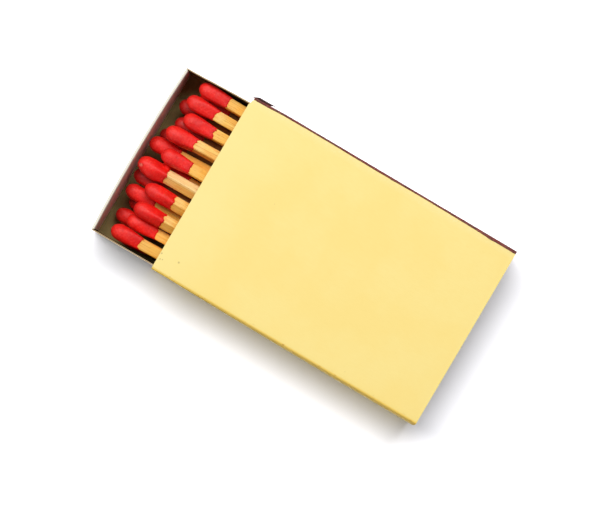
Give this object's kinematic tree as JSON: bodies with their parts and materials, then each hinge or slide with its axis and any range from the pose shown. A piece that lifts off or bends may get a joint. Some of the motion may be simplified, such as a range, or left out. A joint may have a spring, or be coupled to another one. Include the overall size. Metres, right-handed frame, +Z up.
{
  "type": "matchbox",
  "caption": "Folded card sleeve with a friction strip on one long side and a sliding card tray, drawn part of the way out, that holds layers of wooden matches with dipped heads",
  "frame": {"origin": "the middle of the sleeve's bottom face, on the surface that the box lies on", "axes": "+X is the way the tray is drawn out, along the box's length; +Y is across it, towards the plain long side, so the friction strip faces -Y; +Z is up"},
  "size_m": [0.0667, 0.0354, 0.0125],
  "materials": {
    "sleeve_card": "smooth printed paperboard, matt",
    "friction_coat": "gritty matt coat",
    "tray_card": "uncoated paperboard, pale outside and grey-brown inside",
    "match_wood": "bare split wood",
    "match_head": "matt dipped coat"
  },
  "bodies": {
    "sleeve": {"sleeve": "sleeve_card", "striker_strip": "friction_coat"},
    "tray": {"tray": "tray_card", "match_01_stick": "match_wood", "match_02_stick": "match_wood", "match_03_stick": "match_wood", "match_04_stick": "match_wood", "match_05_stick": "match_wood", "match_06_stick": "match_wood", "match_07_stick": "match_wood", "match_08_stick": "match_wood", "match_09_stick": "match_wood", "match_10_stick": "match_wood", "match_11_stick": "match_wood", "match_12_stick": "match_wood", "match_13_stick": "match_wood", "match_14_stick": "match_wood", "match_15_stick": "match_wood", "match_16_stick": "match_wood", "match_17_stick": "match_wood", "match_18_stick": "match_wood", "match_19_stick": "match_wood", "match_20_stick": "match_wood", "match_21_stick": "match_wood", "match_22_stick": "match_wood", "match_23_stick": "match_wood", "match_24_stick": "match_wood", "match_25_stick": "match_wood", "match_26_stick": "match_wood", "match_27_stick": "match_wood", "match_28_stick": "match_wood", "match_01_head": "match_head", "match_02_head": "match_head", "match_03_head": "match_head", "match_04_head": "match_head", "match_05_head": "match_head", "match_06_head": "match_head", "match_07_head": "match_head", "match_08_head": "match_head", "match_09_head": "match_head", "match_10_head": "match_head", "match_11_head": "match_head", "match_12_head": "match_head", "match_13_head": "match_head", "match_14_head": "match_head", "match_15_head": "match_head", "match_16_head": "match_head", "match_17_head": "match_head", "match_18_head": "match_head", "match_19_head": "match_head", "match_20_head": "match_head", "match_21_head": "match_head", "match_22_head": "match_head", "match_23_head": "match_head", "match_24_head": "match_head", "match_25_head": "match_head", "match_26_head": "match_head", "match_27_head": "match_head", "match_28_head": "match_head"}
  },
  "joints": [
    {"name": "tray_slide", "type": "slide", "parent": "sleeve", "child": "tray", "axis": [1, 0, 0], "range_m": [-0.0687, 0.0427]}
  ]
}
